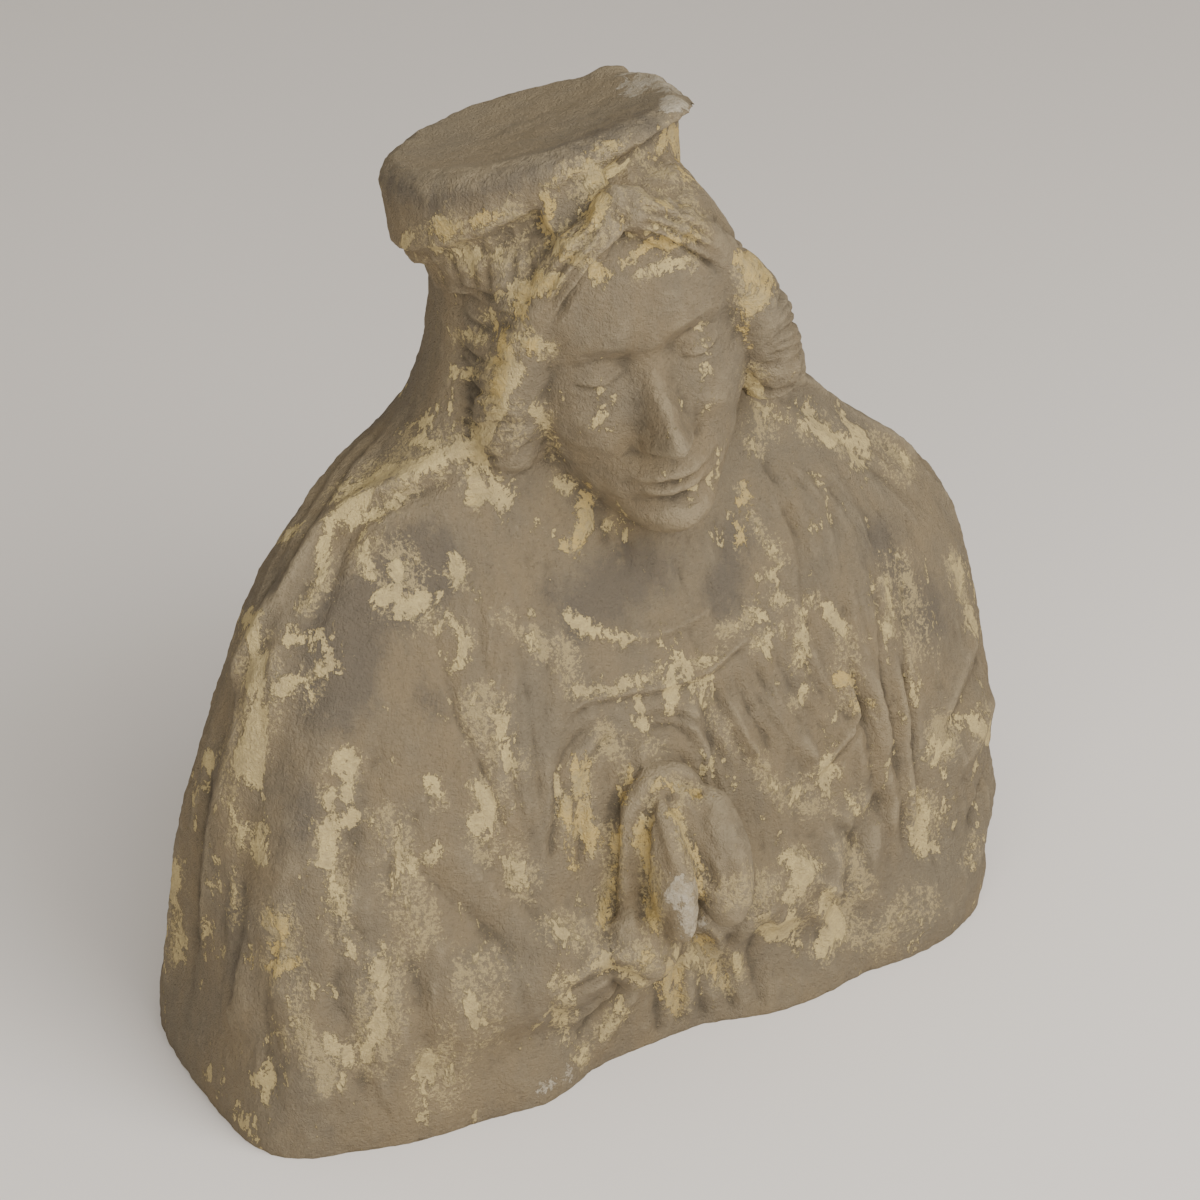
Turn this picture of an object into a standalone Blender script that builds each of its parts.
"""Praying saint bust: one carved block, seen from the front with the hands pressed together.

The figure is modelled on its own scale, on which it is 400 units high, with x to the viewer's right, y to the
back and z up. Masses are put together and fused into one skin, first the body, then the head, the hat and the
hands. The skin is then carved with ridges and grooves that run along curves laid on it, cut flat below, and
brought to the three overall sizes.
"""
import math

import bmesh
import bpy
import numpy as np
from mathutils import Euler, Matrix, Vector
from mathutils.bvhtree import BVHTree

# Overall sizes in metres
BUST_HEIGHT = 0.400
BUST_WIDTH = 0.380
BUST_DEPTH = 0.209

# Sizes of the parts in metres
HAT_RADIUS = 0.062
HAT_RIM = 0.0175
HAT_DEPTH = 0.048
FACE_HEIGHT = 0.131
FACE_HALF_WIDTH = 0.049
HAND_LENGTH = 0.098

# Fineness of the skin in metres, and how many triangles it is brought down to
BODY_VOXEL = 0.004
SKIN_VOXEL = 0.003
TRIANGLES = 9600

# Pose, on the figure's own scale: place and turn of the head and the hat, and the plane between the hands
UNITS = 400.0
CHIN = Vector((2, -60, 238))
HEAD_TURN = (2.0, -11.0, -14.0)
HAT_OVER_CHIN = Vector((-20, 75, 150))
HAT_UP = Vector((-.137, .228, .964)).normalized()
HAND_PLANE = -17.0
BOSS_BEARING = -6.0
BREAK_BEARING = 84.0

# Level outlines of the body: height, half width, reach to the front and back, middle, squareness
LEVELS = (
    (-40, 176, 60, 90, -6, .39),
    (-14, 183.5, 64, 90, -6.5, .40),
    (4, 186, 68, 90, -7, .42),
    (20, 186, 71, 93, -4.5, .44),
    (50, 186, 73, 97, 1.5, .48),
    (80, 187, 73, 97, 4, .60),
    (110, 186, 71, 97, 4, .70),
    (140, 182, 66, 95, 5, .80),
    (165, 176, 60, 92, 6, .86),
    (190, 167, 52, 90, 5, .90),
    (215, 148.5, 42, 86, -3.5, .94),
    (235, 128.5, 34, 82, -7.5, 1),
    (255, 104, 28, 78, -5, 1),
    (272, 88.5, 24, 75, 7, 1),
    (295, 73, 18, 73, 3.5, 1),
    (320, 60, 12, 70, -5, 1),
    (345, 54, 6, 66, -11, 1),
    (362, 48, 6, 60, -15, 1),
)

# The face on its own scale, 131 high and 98 wide, by height over the chin: half width, profile in the middle,
# profile beside the nose, and how broad the nose and the muzzle are
FACE_WIDTHS = ((0, 9), (5, 18), (12, 24.5), (20, 30.5), (40, 40.5), (60, 47), (85, 49), (110, 46), (130, 38),
               (145, 29))
FACE_MIDLINE = ((0, -6), (6, 1), (14, 2.5), (21, -1.5), (26, 3), (29, 1.5), (32.5, 5), (38, 3), (43, 4),
                (46, 15), (49, 16.5), (60, 9.5), (74, 0.5), (81, -3), (88, 0), (105, 1), (120, -4), (133, -13),
                (145, -26))
FACE_GROUND = ((0, -8), (10, -3), (25, -2.5), (40, -3.5), (60, -3), (80, -3), (90, -1), (110, 0), (130, -10),
               (145, -25))
NOSE_WIDTHS = ((38, 6), (43, 8), (47, 8.4), (52, 6.8), (60, 5.6), (74, 5.2), (84, 8), (92, 20), (110, 40),
               (145, 60))
MUZZLE_WIDTHS = ((0, 24), (14, 22), (21, 20), (29, 19), (38, 14), (43, 11))

# The fingers as upright arches: depth, half width, rise of the crown, height of the feet, spread of the feet
ARCHES = ((-73, 15.0, 41, 64, 17), (-60.5, 20.0, 48, 68, 27), (-48, 25.5, 52, 78, 33))
# The grooves between them: depth, half width, rise of the crown, height of the feet
GROOVES = ((-80, 12.0, 45, 68), (-66.5, 18.0, 51, 70), (-54, 23.5, 56, 84), (-43, 29.0, 57, 90))


def own(size):
    """A size in metres on the figure's own scale."""
    return size / BUST_HEIGHT * UNITS


def head_scale():
    """How much the head is larger than in the numbers of its own frame, across and up."""
    return own(FACE_HALF_WIDTH) / 49, own(FACE_HEIGHT) / 131


def head_frame():
    """Place of the head: its own axes are x across, y to the back and z up from the chin."""
    across, up = head_scale()
    turn = Euler([math.radians(a) for a in HEAD_TURN]).to_matrix().to_4x4()
    return Matrix.Translation(CHIN) @ turn @ Matrix.Diagonal((across, up, up, 1))


def hat_frame():
    """Place of the hat: x across, y to the back, z along its leaning axis, from the middle of its top."""
    yaw = math.radians(HEAD_TURN[2])
    back = HAT_UP.cross(Vector((math.cos(yaw), math.sin(yaw), 0))).normalized()
    across = back.cross(HAT_UP)
    turn = Matrix((across, back, HAT_UP)).transposed().to_4x4()
    return Matrix.Translation(CHIN + HAT_OVER_CHIN * head_scale()[1]) @ turn


def clear_scene():
    """Take away whatever the file opened with."""
    for thing in list(bpy.data.objects):
        bpy.data.objects.remove(thing)


def put(name, bm):
    """Make an object of a bmesh in the scene."""
    mesh = bpy.data.meshes.new(name)
    bm.to_mesh(mesh)
    bm.free()
    thing = bpy.data.objects.new(name, mesh)
    bpy.context.scene.collection.objects.link(thing)
    return thing


def ball(name, centre, radii, turn=(0, 0, 0), frame=None):
    """An ellipsoid, turned by the three angles in degrees and placed in the frame given."""
    place = Matrix.Translation(centre) @ Euler([math.radians(t) for t in turn]).to_matrix().to_4x4()
    place = (frame or Matrix()) @ place @ Matrix.Diagonal((*radii, 1))
    bm = bmesh.new()
    bmesh.ops.create_uvsphere(bm, u_segments=48, v_segments=24, radius=1, matrix=place)
    return put(name, bm)


def limb(name, points, radii, frame=None):
    """A round bar along a smooth curve, with its own radius at each point."""
    curve = bpy.data.curves.new(name, "CURVE")
    curve.dimensions = "3D"
    curve.bevel_depth = 1
    curve.bevel_resolution = 4
    curve.use_fill_caps = True
    curve.resolution_u = 8
    spline = curve.splines.new("NURBS")
    spline.points.add(len(points) - 1)
    for knot, point, radius in zip(spline.points, points, radii):
        knot.co = (*point, 1)
        knot.radius = radius
    spline.use_endpoint_u = True
    spline.order_u = min(4, len(points))
    thing = bpy.data.objects.new(name, curve)
    bpy.context.scene.collection.objects.link(thing)
    mesh = bpy.data.meshes.new_from_object(thing.evaluated_get(bpy.context.evaluated_depsgraph_get()))
    bpy.data.objects.remove(thing)
    bm = bmesh.new()
    bm.from_mesh(mesh)
    bmesh.ops.remove_doubles(bm, verts=bm.verts, dist=1e-4)
    if frame:
        bm.transform(frame)
    return put(name, bm)


def loft(name, rings, frame=None):
    """A closed body through rings with the same number of points each."""
    bm = bmesh.new()
    loops = [[bm.verts.new(point) for point in ring] for ring in rings]
    for low, high in zip(loops, loops[1:]):
        for i in range(len(low)):
            j = (i + 1) % len(low)
            bm.faces.new((low[i], low[j], high[j], high[i]))
    bm.faces.new(loops[0][::-1])
    bm.faces.new(loops[-1])
    if frame:
        bm.transform(frame)
    return put(name, bm)


def oval(z, half_width, front, back, centre, power):
    """One level outline of the body, squarer where the power is low."""
    ring = []
    for i in range(28):
        angle = 2 * math.pi * i / 28
        c, s = math.cos(angle), math.sin(angle)
        x = centre + half_width * math.copysign(abs(c) ** power, c)
        y = (back if s > 0 else -front) * abs(s) ** power
        ring.append((x, y, z))
    return ring


def fuse(name, parts, voxel, smoothing):
    """Join the parts into one skin and soften it."""
    depsgraph = bpy.context.evaluated_depsgraph_get()
    bm = bmesh.new()
    for part in parts:
        mesh = bpy.data.meshes.new_from_object(part.evaluated_get(depsgraph))
        bm.from_mesh(mesh)
    for part in parts:
        bpy.data.objects.remove(part)
    thing = put(name, bm)
    remesh = thing.modifiers.new("Remesh", "REMESH")
    remesh.mode = "VOXEL"
    remesh.voxel_size = voxel
    smooth = thing.modifiers.new("Smooth", "SMOOTH")
    smooth.factor = 0.5
    smooth.iterations = smoothing
    return bake(thing)


def bake(thing):
    """Replace the object's mesh by what its modifiers give."""
    mesh = bpy.data.meshes.new_from_object(thing.evaluated_get(bpy.context.evaluated_depsgraph_get()))
    thing.modifiers.clear()
    thing.data = mesh
    return thing


def body():
    """Shoulders, chest and wrapped arms as one soft block."""
    torso = loft("torso", [oval(*level) for level in LEVELS])
    cage = torso.modifiers.new("Subdivision", "SUBSURF")
    cage.levels = cage.render_levels = 2
    parts = [torso]
    parts.append(limb("forearm_right", [(-150, 0, 62), (-140, -25, 56), (-95, -44, 58), (-40, -66, 70)],
                      [44, 46, 38, 26]))
    parts.append(limb("forearm_left", [(150, 4, 62), (138, -20, 52), (85, -42, 54), (15, -62, 66)],
                      [42, 42, 34, 26]))
    parts.append(ball("elbow_right", (-106, -31, 12), (72, 42, 52)))
    parts.append(ball("elbow_left", (112, -37, 12), (66, 42, 50)))
    parts.append(ball("hem", (58, -45, 4), (60, 35, 32)))
    parts.append(ball("sleeve_right", (-76, -42, 10), (44, 36, 38)))
    return fuse("body", parts, own(BODY_VOXEL), 24)


def along(table, t):
    """Smooth value of a short table of (place, value) pairs at t."""
    places, values = zip(*table)
    t = np.clip(t, places[0], places[-1])
    i = np.clip(np.searchsorted(places, t, side="right") - 1, 0, len(places) - 2)
    places, values = np.array(places, float), np.array(values, float)
    slopes = np.gradient(values, places)
    h = places[i + 1] - places[i]
    s = (t - places[i]) / h
    a, b = (1 + 2 * s) * (1 - s) ** 2, s * (1 - s) ** 2
    c, d = s * s * (3 - 2 * s), s * s * (s - 1)
    return a * values[i] + b * h * slopes[i] + c * values[i + 1] + d * h * slopes[i + 1]


def bump(u, v, cu, cv, ru, rv):
    """A soft round hill of height 1."""
    return np.exp(-((u - cu) / ru) ** 2 - ((v - cv) / rv) ** 2)


def face_depth(u, v):
    """How far the face stands forward of the brow, over the flat frame of the face."""
    half = along(FACE_WIDTHS, v)
    round_off = 44 * (np.sqrt(np.clip(1 - (np.abs(u) / (half + 3)) ** 2.3, 0, 1)) - 1)
    base = along(FACE_GROUND, v)
    spread = np.where(v > 41, along(NOSE_WIDTHS, v), along(MUZZLE_WIDTHS, v))
    depth = base + round_off + (along(FACE_MIDLINE, v) - base) * np.exp(-(np.abs(u) / spread) ** 2.4)
    side = np.abs(u)
    # Cheeks, brows, sockets and the balls of the eyes
    depth += 2.4 * bump(side, v, 27, 55, 14, 14)
    depth += 1.2 * bump(side, v, 22, 91, 15, 4)
    depth -= 5.4 * bump(side, v, 20, 79, 15, 9)
    depth -= 2.8 * bump(side, v, 10, 81, 4.5, 6)
    depth += 5.8 * bump(side, v, 21, 77.5, 9.5, 6.6)
    lash = 77.2 - 3.9 * np.clip(1 - ((side - 20.5) / 10.5) ** 2, 0, 1)
    depth -= 1.6 * np.exp(-((v - lash) / 1.6) ** 2) * (np.abs(side - 20.5) < 11)
    # Nostril wings, lips and chin
    depth += 2.8 * bump(side, v, 8.4, 46.5, 3.0, 3.8)
    depth -= 1.8 * bump(side, v, 13, 46, 2.4, 5)
    mouth = 29 + 1.0 * (side / 16) ** 2
    depth -= 2.6 * np.exp(-((v - mouth) / 1.5) ** 2) * np.clip((17 - side) / 4, 0, 1)
    depth += 2.2 * np.exp(-((v - mouth - 3.4) / 2.8) ** 2) * np.clip((16 - side) / 11, 0, 1)
    depth += 2.8 * np.exp(-((v - mouth + 4) / 3.2) ** 2) * np.clip((14 - side) / 10, 0, 1)
    depth -= 1.6 * bump(side, v, 17.5, 29.5, 2.6, 3)
    depth -= 1.2 * bump(side, v, 0, 38, 2.2, 3.5)
    return depth + 2.5 * bump(side, v, 0, 9, 13, 9)


def face():
    """The face as level sections: the front follows the face, the back a plain arc inside the head."""
    rings = []
    for v in np.linspace(0.5, 144, 96):
        half = float(along(FACE_WIDTHS, v))
        u = half * np.sin(np.linspace(-math.pi / 2, math.pi / 2, 75))
        w = face_depth(u, np.full_like(u, v))
        front = [(a, -b, v) for a, b in zip(u, w)]
        back = [(half * math.cos(t), -w[0] + 20 * math.sin(t), v) for t in np.linspace(0, math.pi, 16)[1:-1]]
        rings.append(front + back)
    return loft("face", rings, head_frame())


def rim_at(bearing):
    """Thickness of the hat's rim, which is thick at the viewer's left and worn thin at the right."""
    return own(HAT_RIM) * (1 - 0.71 * math.cos(math.radians(bearing - 70)))


def hat_profile(bearing):
    """Radius and height of the hat's outline at a bearing, from its foot to the middle of its top."""
    rim = rim_at(bearing)
    deep = own(HAT_DEPTH)
    flat = max(0.0, math.cos(math.radians(bearing + 5))) ** 1.5
    wide = max(0.0, math.cos(math.radians(bearing + 95)))
    top = own(HAT_RADIUS) - 11 * flat + wide + 3 * max(0.0, -math.cos(math.radians(bearing)))
    low = top - 5 + flat + 7 * wide
    foot = own(HAT_RADIUS) - 18 + 5 * flat + 11 * wide
    return ((foot, -deep), (foot + 2, -deep + 12), (low - 6, -rim - 8), (low - 5, -rim - 2), (low, -rim),
            ((top + low) / 2 + 0.5, -rim * 0.55 - 3), (top, -6), (top - 2.5, -2.2), (top - 8, 0),
            (top - 24, -2.5), (top - 40, -4))


def hat():
    """Low flaring drum with an uneven rim, flattened at the front, with a knob on the rim and an oval boss."""
    at = hat_frame()
    bearings = [360 * i / 90 for i in range(90)]
    profiles = [hat_profile(bearing) for bearing in bearings]
    rings = []
    for level in range(len(profiles[0])):
        ring = []
        for bearing, profile in zip(bearings, profiles):
            radius, height = profile[level]
            angle = math.radians(bearing)
            ring.append((radius * math.sin(angle), -radius * math.cos(angle), height))
        rings.append(ring)
    angle, reach = math.radians(BOSS_BEARING), own(HAT_RADIUS) - 16
    boss = (reach * math.sin(angle), -reach * math.cos(angle), -21)
    knob = (own(HAT_RADIUS) - 21, own(HAT_RADIUS) - 19, -3)
    return [loft("hat", rings, at), ball("knob", knob, (10, 7, 5), frame=at),
            ball("boss", boss, (14, 6.5, 16), (-10, 0, BOSS_BEARING), frame=at)]


def head():
    """Skull, face, neck, the rolls of hair round the face, and the hat."""
    at = head_frame()
    parts = [face()]
    parts.append(ball("skull", (0, 70, 82), (50, 62, 60), frame=at))
    parts.append(ball("nape", (-5, 76, 60), (55, 46, 62), frame=at))
    parts.append(limb("neck", [(6, -6, 190), (4, -8, 225), (-2, -6, 262)], [40, 34, 34]))
    for side in (-1, 1):
        path = [(side * 3, 10, 140), (side * 17, 10, 132), (side * 29, 15, 116), (side * 42, 24, 91),
                (side * 53, 30, 64), (side * 55, 38, 34)]
        parts.append(limb("hair_roll", path, [7, 8, 9.5, 13, 16, 14], frame=at))
    parts.append(ball("hair_side", (-38, 44, 110), (16, 30, 22), frame=at))
    parts.append(ball("hair_back", (-48, 46, 68), (15, 28, 44), frame=at))
    return parts + hat()


def arch(depth, out, spread, foot, rise):
    """Path of an upright arch that stands at a depth, from one foot over its crown to the other."""
    top = own(HAND_LENGTH) + rise
    half = [(spread, foot), (out * 1.08, foot + 16), (out, (foot + top) / 2 + 6), (out, top - 17),
            (out * 0.72, top - 5.5), (out * 0.26, top)]
    left = [(HAND_PLANE - x, depth, z) for x, z in half]
    return left + [(HAND_PLANE + x, depth, z) for x, z in half[::-1]]


def hands():
    """The pressed hands: fingers as arches, nested one behind another, with the two thumbs in front."""
    parts = []
    for depth, out, rise, foot, spread in ARCHES:
        parts.append(limb("fingers", arch(depth, out, spread, foot, rise),
                          [9, 8, 7.6, 7.4, 7.4, 7.4, 7.4, 7.4, 7.4, 7.6, 8, 9]))
    parts.append(ball("palms", (HAND_PLANE, -62, 104), (17, 24, 42), (-8, 0, 0)))
    parts.append(ball("thumb_left", (HAND_PLANE + 13.5, -90, 106), (14, 15.5, 30), (-22, 0, 0)))
    parts.append(ball("thumb_right", (HAND_PLANE - 8.5, -88, 107), (9.5, 14, 32), (-20, 0, 0)))
    parts.append(ball("wrist", (HAND_PLANE - 14, -80, 70), (18, 16, 20)))
    return parts


def cut_flat(thing):
    """Cut the block off level at the ground."""
    bm = bmesh.new()
    bm.from_mesh(thing.data)
    parts = bm.verts[:] + bm.edges[:] + bm.faces[:]
    cut = bmesh.ops.bisect_plane(bm, geom=parts, plane_co=(0, 0, 0), plane_no=(0, 0, -1), clear_outer=True)
    rim = [edge for edge in cut["geom_cut"] if isinstance(edge, bmesh.types.BMEdge)]
    bmesh.ops.contextual_create(bm, geom=rim)
    bm.to_mesh(thing.data)
    bm.free()
    return thing


def figure():
    """The whole skin before carving."""
    return fuse("figure", [body()] + head() + hands(), own(SKIN_VOXEL), 3)


class Skin:
    """Points and outward directions of a fused body, ready to be carved."""

    def __init__(self, thing):
        self.thing = thing
        mesh = thing.data
        count = len(mesh.vertices)
        self.points = np.empty(count * 3)
        mesh.vertices.foreach_get("co", self.points)
        self.points = self.points.reshape(-1, 3)
        normals = np.empty(count * 3)
        mesh.vertices.foreach_get("normal", normals)
        self.normals = normals.reshape(-1, 3)
        self.lift = np.zeros(count)
        bm = bmesh.new()
        bm.from_mesh(mesh)
        self.tree = BVHTree.FromBMesh(bm)
        bm.free()

    def hit(self, start, direction):
        """Where a straight line first meets the skin, or the nearest place on it."""
        place = self.tree.ray_cast(start, direction)[0]
        return place or self.tree.find_nearest(start + direction * 300)[0]

    def front(self, points):
        """Places on the front for (x, z) pairs."""
        return [self.hit(Vector((x, -400, z)), Vector((0, 1, 0))) for x, z in points]

    def round(self, points, frame=Matrix.Translation((0, 20, 0))):
        """Places for (bearing, height) pairs round an upright axis; bearing 0 is the front, -90 the left."""
        places = []
        for bearing, height in points:
            angle = math.radians(bearing)
            out = frame.to_3x3() @ Vector((math.sin(angle), -math.cos(angle), 0))
            places.append(self.hit(frame @ Vector((0, 0, height)) + out * 300, -out))
        return places

    def near(self, points):
        """The skin's nearest places to points."""
        return [self.tree.find_nearest(Vector(point))[0] for point in points]

    def shave(self, point, outward):
        """Break off what stands beyond a plane through a point."""
        over = np.clip((self.points - np.array(point)) @ np.array(outward), 0, None)
        self.points = self.points - over[:, None] * np.array(outward)

    def stroke(self, places, width, height, lean=0.0, ends=0.25):
        """Raise or sink the skin along a smooth curve through the places.

        The lean, -1 to 1, makes one flank steep and the other gentle, as in a fold that lies over.
        """
        line = smooth_line([np.array(place) for place in places], width * 0.6)
        low, high = line.min(0) - 3.2 * width, line.max(0) + 3.2 * width
        near = np.flatnonzero(((self.points > low) & (self.points < high)).all(1))
        if len(near) == 0:
            return
        spots = self.points[near]
        start, step = line[:-1], np.diff(line, axis=0)
        size = (step ** 2).sum(1)
        best = np.full(len(near), 1e9)
        side = np.zeros(len(near))
        share = np.zeros(len(near))
        for i in range(len(start)):
            gap = spots - start[i]
            t = np.clip(gap @ step[i] / size[i], 0, 1)
            off = gap - t[:, None] * step[i]
            far = (off ** 2).sum(1)
            closer = far < best
            best[closer] = far[closer]
            turn = np.cross(step[i], off)
            side[closer] = np.sign((turn * self.normals[near]).sum(1))[closer]
            share[closer] = ((i + t) / len(start))[closer]
        reach = width * (1 + lean * side * 0.6)
        fade = np.clip(np.minimum(share, 1 - share) / ends, 0, 1) if ends else 1.0
        fade = fade * fade * (3 - 2 * fade) if ends else 1.0
        self.lift[near] += height * np.exp(-best / reach ** 2) * fade

    def settle(self):
        """Move every point along its own direction by what the strokes add up to."""
        points = self.points + self.normals * self.lift[:, None]
        self.thing.data.vertices.foreach_set("co", points.ravel())
        self.thing.data.update()


def smooth_line(places, step):
    """Evenly spaced points on a curve that passes through the places."""
    if len(places) == 2:
        count = max(2, int(np.linalg.norm(places[1] - places[0]) / step) + 1)
        return np.linspace(places[0], places[1], count)
    knots = [2 * places[0] - places[1]] + places + [2 * places[-1] - places[-2]]
    line = []
    for a, b, c, d in zip(knots, knots[1:], knots[2:], knots[3:]):
        count = max(2, int(np.linalg.norm(c - b) / step) + 1)
        for t in np.arange(count) / count:
            line.append(0.5 * (2 * b + (c - a) * t + (2 * a - 5 * b + 4 * c - d) * t * t
                               + (3 * b - a - 3 * c + d) * t ** 3))
    line.append(places[-1])
    return np.array(line)


def between(first, last, t):
    """A line of the bundle that has the two given lines as its edges."""
    return [tuple(np.array(a) * (1 - t) + np.array(b) * t) for a, b in zip(first, last)]


def carve_mantle(skin):
    """Folds of the mantle over the viewer's left side, the sleeves and the lap."""
    side = ((-99, 12, 150, 6, 3), (-92, 20, 205, 5, -3), (-86, 40, 225, 7, 3.2), (-80, 30, 200, 5, -2.6),
            (-73, 95, 215, 9, 2.6), (-67, 100, 190, 5, -2))
    for bearing, low, high, width, height in side:
        drift = 6 if bearing < -82 else 3
        path = [(bearing + drift, high), (bearing + 2, (low + high) / 2), (bearing, low)]
        skin.stroke(skin.round(path), width, height, lean=0.3)
    sleeve = (
        ([(-72, 92), (-68, 60), (-64, 22)], 9, 2.8), ([(-66, 96), (-62.5, 60), (-60, 16)], 5, -3.4),
        ([(-62, 100), (-58, 70), (-55, 25)], 8, 3.2), ([(-57, 96), (-54.5, 60), (-54, 18)], 5, -3.8),
        ([(-54, 104), (-50, 70), (-48, 20)], 10, 3.6), ([(-60, 134), (-52, 108), (-45, 88), (-38, 70)], 5, -3),
        ([(-56, 140), (-48, 116), (-42, 96), (-36, 80)], 6, 3), ([(-50, 130), (-44, 108), (-37, 88)], 4, -3),
        ([(-72, 140), (-66, 120), (-60, 108)], 7, 2.4), ([(-78, 110), (-72, 60), (-70, 14)], 6, -2.2),
    )
    for path, width, height in sleeve:
        skin.stroke(skin.round(path), width, height, lean=-0.3)
    cuffs = (
        ([(-72, 66), (-50, 74), (-30, 66)], 4, 3.4), ([(-72, 58), (-52, 64), (-32, 58)], 3.5, -2.6),
        ([(-30, 58), (-46, 46), (-66, 30)], 4, 3.0), ([(-28, 50), (-42, 36), (-60, 20)], 4, -3.2),
        ([(-24, 40), (-36, 26), (-48, 8)], 4, 2.6), ([(-8, 64), (8, 56), (26, 22)], 4, 3.2),
        ([(-2, 58), (8, 44), (14, 14)], 3.5, -3), ([(20, 64), (34, 48), (44, 12)], 5, -2.4),
    )
    for path, width, height in cuffs:
        skin.stroke(skin.front(path), width, height)
    for x in (-16, -5, 6, 18, 31):
        skin.stroke(skin.front([(x - 2, 54), (x, 28), (x + 4, 1)]), 3.6, -3.0, ends=0.15)
    elbow = (
        ([(172, 132), (150, 122), (134, 104)], 6, 3.0), ([(178, 118), (156, 108), (136, 96)], 5, -4.2),
        ([(182, 96), (160, 88), (138, 78)], 7, 3.2), ([(184, 76), (166, 60), (150, 40)], 5, -3.6),
        ([(182, 56), (168, 40), (150, 22)], 7, 2.6), ([(120, 92), (96, 70), (84, 30)], 7, 2.4),
        ([(108, 92), (84, 70), (70, 26)], 5, -2.6), ([(66, 96), (70, 70), (60, 20)], 6, 2.6),
    )
    for path, width, height in elbow:
        skin.stroke(skin.front(path), width, height)


def carve_dress(skin):
    """Neckline, the gathered edge of the dress and the small pleats that hang from it."""
    skin.stroke(skin.front([(-42, 206), (-20, 194), (8, 192), (34, 200)]), 3.0, 1.8)
    gather = [(-52, 171), (-38, 175), (-3, 171), (16, 172), (38, 180)]
    skin.stroke(skin.front(gather), 2.8, 2.0, ends=0.1)
    skin.stroke(skin.front([(x, z - 5) for x, z in gather]), 2.8, -1.6, ends=0.1)
    for x in (17, 31, 46):
        path = [(x, 168 + 0.15 * x), (x * 1.15 + 3, 150), (x * 1.4 + 8, 122)]
        skin.stroke(skin.front(path), 3.2, -2.6)


def carve_locks(skin):
    """Long hair that hangs over both sides of the chest, and the edge of the veil outside it."""
    right_in, right_out = ([(-42, 214), (-39, 190), (-38, 165), (-38, 140), (-37, 118)],
                           [(-62, 262), (-62, 226), (-58, 190), (-52, 158), (-47, 122)])
    skin.stroke(skin.round(between(right_in, right_out, 0.5)), 17, 4.0, ends=0.2)
    for i in range(6):
        line = between(right_in, right_out, (i + 0.5) / 6)
        line = [(a + 1.3 * math.sin(1.9 * k + i), z) for k, (a, z) in enumerate(line)]
        skin.stroke(skin.round(line), 3.6, -2.2)
    skin.stroke(skin.round([(-37, 215), (-36, 190), (-36, 160)]), 3.2, 2.6)
    left_in, left_out = ([(52, 250), (64, 212), (66, 178), (78, 140), (92, 98)],
                         [(98, 240), (120, 200), (122, 165), (118, 132), (124, 90)])
    skin.stroke(skin.front(between(left_in, left_out, 0.45)), 20, 4.5, ends=0.2)
    for i in range(7):
        line = between(left_in, left_out, (i + 0.5) / 7)
        line = [(x + 1.8 * math.sin(1.7 * k + 1.3 * i), z) for k, (x, z) in enumerate(line)]
        skin.stroke(skin.front(line), 3.8, -2.4)
    edge = [(-62, 284), (-66, 274), (-76, 262), (-83, 250), (-82, 232), (-84, 205), (-88, 160)]
    skin.stroke(skin.round(edge), 4.5, 4.6, lean=-0.5)
    skin.stroke(skin.round([(-60, 276), (-68, 264), (-78, 250), (-76, 228), (-77, 205)]), 4.5, -2.6)
    edge = [(60, 282), (66, 270), (74, 256), (79, 240), (79, 218), (82, 185)]
    skin.stroke(skin.round(edge), 4.5, 3.6, lean=0.5)
    skin.stroke(skin.round([(58, 272), (65, 258), (71, 242), (71, 218), (73, 180)]), 4.5, -2.2)
    for shift in (0, 1, 2):
        path = [(96 + 8 * shift, 290 - 8 * shift), (92 + 6 * shift, 262 - 6 * shift), (82 + 4 * shift, 230),
                (78 + 3 * shift, 190), (76 + 3 * shift, 150)]
        skin.stroke(skin.round(path), 4.5, 2.8)
        mirror = [(-bearing, height) for bearing, height in path]
        skin.stroke(skin.round(mirror), 4.5, 2.4)


def carve_back(skin):
    """Plain broad folds of the veil down the back."""
    for i, bearing in enumerate(range(112, 252, 20)):
        top = 285 - 0.02 * (bearing - 180) ** 2
        off = bearing - 180
        path = [(180 + off * 0.7, top), (180 + off * 0.9, 190), (bearing, 100), (bearing, 8)]
        skin.stroke(skin.round(path), 13, 4.5 if i % 2 else 3.5, lean=0.3, ends=0.12)
        groove = [(a + 9, z) for a, z in path]
        skin.stroke(skin.round(groove), 6, -2.6, ends=0.15)


def carve_hair(skin):
    """Waves of the hair beside the face and the parting under the hat."""
    at = head_frame() @ Matrix.Translation((0, 55, 0))
    for side in (-1, 1):
        for i in range(7):
            v = 34 + 12 * i
            inner = 44 - 0.25 * abs(v - 74)
            path = [(side * inner, v - 3), (side * (inner + 16), v + 3.5), (side * (inner + 32), v - 1.5),
                    (side * (inner + 52), v + 5)]
            skin.stroke(skin.round(path, at), 3.2, -2.0, ends=0.35)
        for i in range(4):
            path = [(side * 2, 148 - 4.4 * i), (side * 13, 142 - 4.6 * i), (side * 25, 133 - 5.3 * i),
                    (side * 38, 119 - 6 * i)]
            skin.stroke(skin.round(path, at), 2.8, -2.2 if i % 2 else 1.6)


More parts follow.
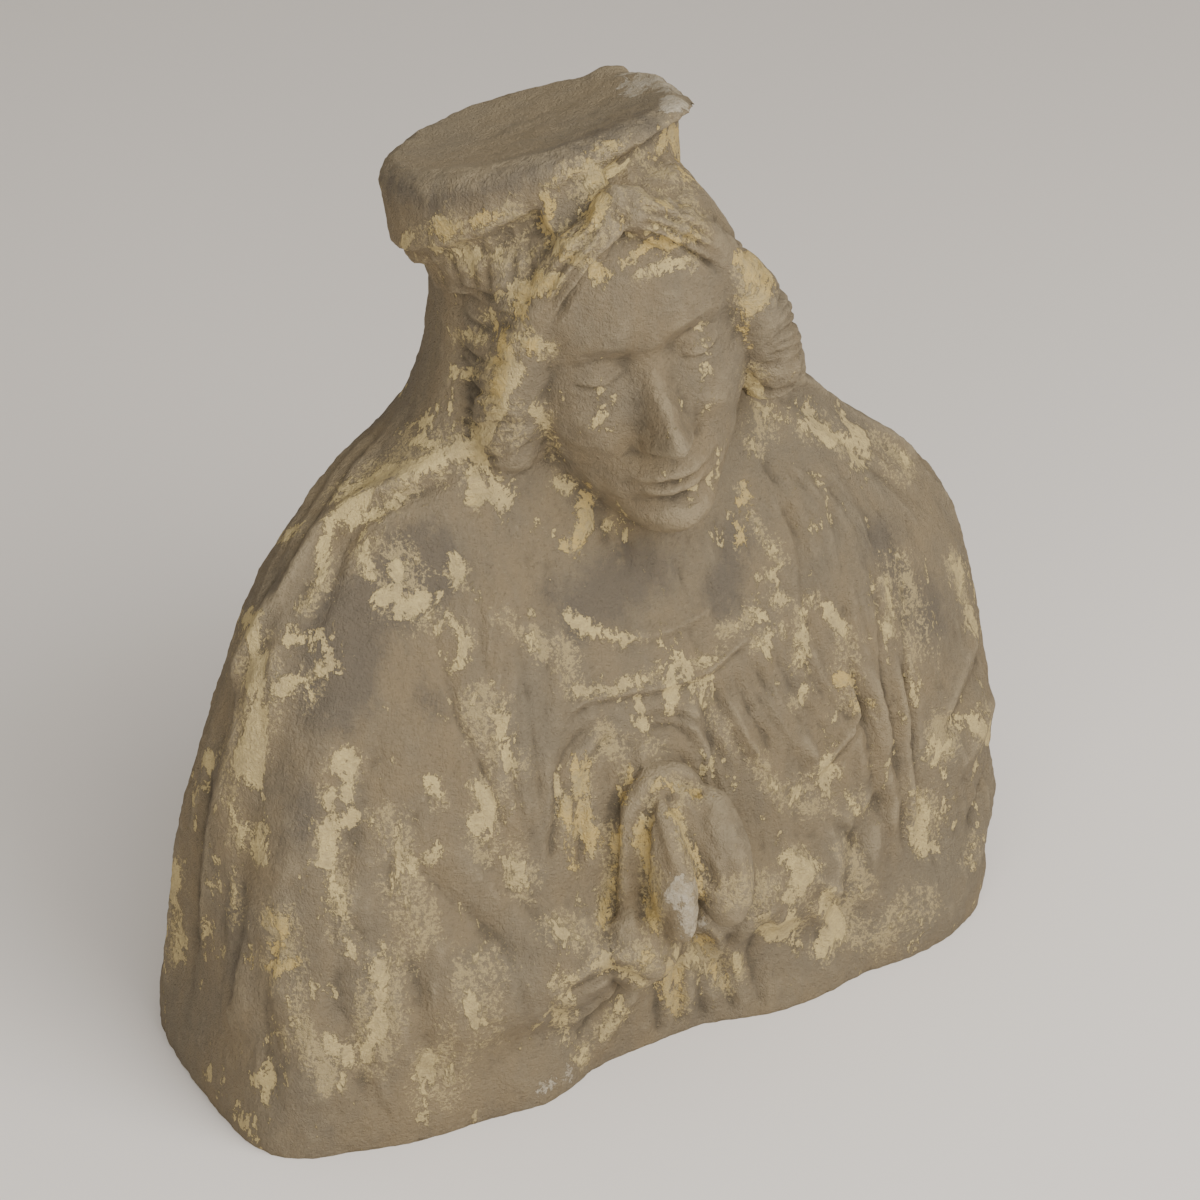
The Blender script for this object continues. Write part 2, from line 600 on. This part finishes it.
def carve_hat(skin):
    """The broken place on the rim, the flutes and locks of the hat's side and the sunk middle of the boss."""
    at = hat_frame()
    out, slope = math.radians(BREAK_BEARING), math.radians(46)
    side = Vector((math.sin(out), -math.cos(out), 0))
    skin.shave(at @ (side * 50), at.to_3x3() @ (side * math.sin(slope) + Vector((0, 0, math.cos(slope)))))
    deep = own(HAT_DEPTH)
    for i in range(14):
        bearing = -30 - 17.0 * i
        rim = rim_at(bearing)
        path = [(bearing, -rim - 3), (bearing + 2.5, (-rim - deep) / 2), (bearing + 1, -deep + 2)]
        skin.stroke(skin.round(path, at), 3.0, -2.2)
    for i in range(4):
        low = -18 - 7.4 * i
        path = [(14 + i, low - 8), (24, low - 1), (40, low + 2), (58, low - 3)]
        skin.stroke(skin.round(path, at), 2.8, -1.8 if i % 2 else 1.8)
    turns = np.linspace(0, 2 * math.pi, 19)
    ring = [(BOSS_BEARING + 13.5 * math.sin(t), -21 + 12.5 * math.cos(t)) for t in turns]
    skin.stroke(skin.round(ring, at), 2.8, 2.0, ends=0)
    skin.stroke(skin.round([(BOSS_BEARING, -15), (BOSS_BEARING, -27)], at), 5.5, -3.4, ends=0.1)


def carve_hands(skin):
    """Grooves between the fingers and between the thumbs."""
    for depth, out, rise, foot in GROOVES:
        skin.stroke(skin.near(arch(depth, out, out + 3, foot, rise)), 2.6, -2.6, ends=0.12)
    skin.stroke(skin.near([(HAND_PLANE, -84, 133), (HAND_PLANE, -98, 118), (HAND_PLANE, -108, 100)]), 2.8, -3.0,
                ends=0.1)


def carve(skin):
    """All the carving that shows from a step away."""
    carve_mantle(skin)
    carve_dress(skin)
    carve_locks(skin)
    carve_back(skin)
    carve_hair(skin)
    carve_hat(skin)
    carve_hands(skin)
    skin.settle()


def trim(thing):
    """Soften the tool marks and bring the skin down to its number of triangles, fewest where it is plain."""
    smooth = thing.modifiers.new("Smooth", "SMOOTH")
    smooth.factor = 0.5
    smooth.iterations = 2
    bake(thing)
    plain = thing.vertex_groups.new(name="plain")
    for vertex in thing.data.vertices:
        x, y, z = vertex.co
        fine = y < 30 and (z > 210 or (z > 60 and abs(x - HAND_PLANE) < 60))
        plain.add([vertex.index], 0.5 if fine else 1.0, "REPLACE")
    thing.data.calc_loop_triangles()
    decimate = thing.modifiers.new("Decimate", "DECIMATE")
    decimate.ratio = TRIANGLES / len(thing.data.loop_triangles)
    decimate.vertex_group = plain.name
    decimate.vertex_group_factor = 0.01
    return bake(thing)


def finish(block):
    """Bring the figure to its overall sizes, standing over the origin, and give it its stone."""
    points = np.array([vertex.co for vertex in block.data.vertices])
    low, high = points.min(0), points.max(0)
    scale = np.array((BUST_WIDTH, BUST_DEPTH, BUST_HEIGHT)) / (high - low)
    middle = (low + high) / 2 * (1, 1, 0) + low * (0, 0, 1)
    points = (points - middle) * scale
    block.data.vertices.foreach_set("co", points.ravel())
    block.data.shade_flat()
    block.data.update()
    stone = bpy.data.materials.new("stone")
    stone.use_nodes = True
    surface = stone.node_tree.nodes["Principled BSDF"]
    surface.inputs["Base Color"].default_value = (0.24, 0.20, 0.155, 1)
    surface.inputs["Roughness"].default_value = 0.92
    block.data.materials.clear()
    block.data.materials.append(stone)


def make():
    """Build, carve and cut the bust and hand it over in its own collection."""
    block = figure()
    carve(Skin(block))
    cut_flat(trim(block))
    finish(block)
    block.name = block.data.name = "praying_saint_bust"
    home = bpy.data.collections.new("stone_saint_bust")
    bpy.context.scene.collection.children.link(home)
    for holder in list(block.users_collection):
        holder.objects.unlink(block)
    home.objects.link(block)
    return block


if __name__ == "__main__":
    clear_scene()
    make()
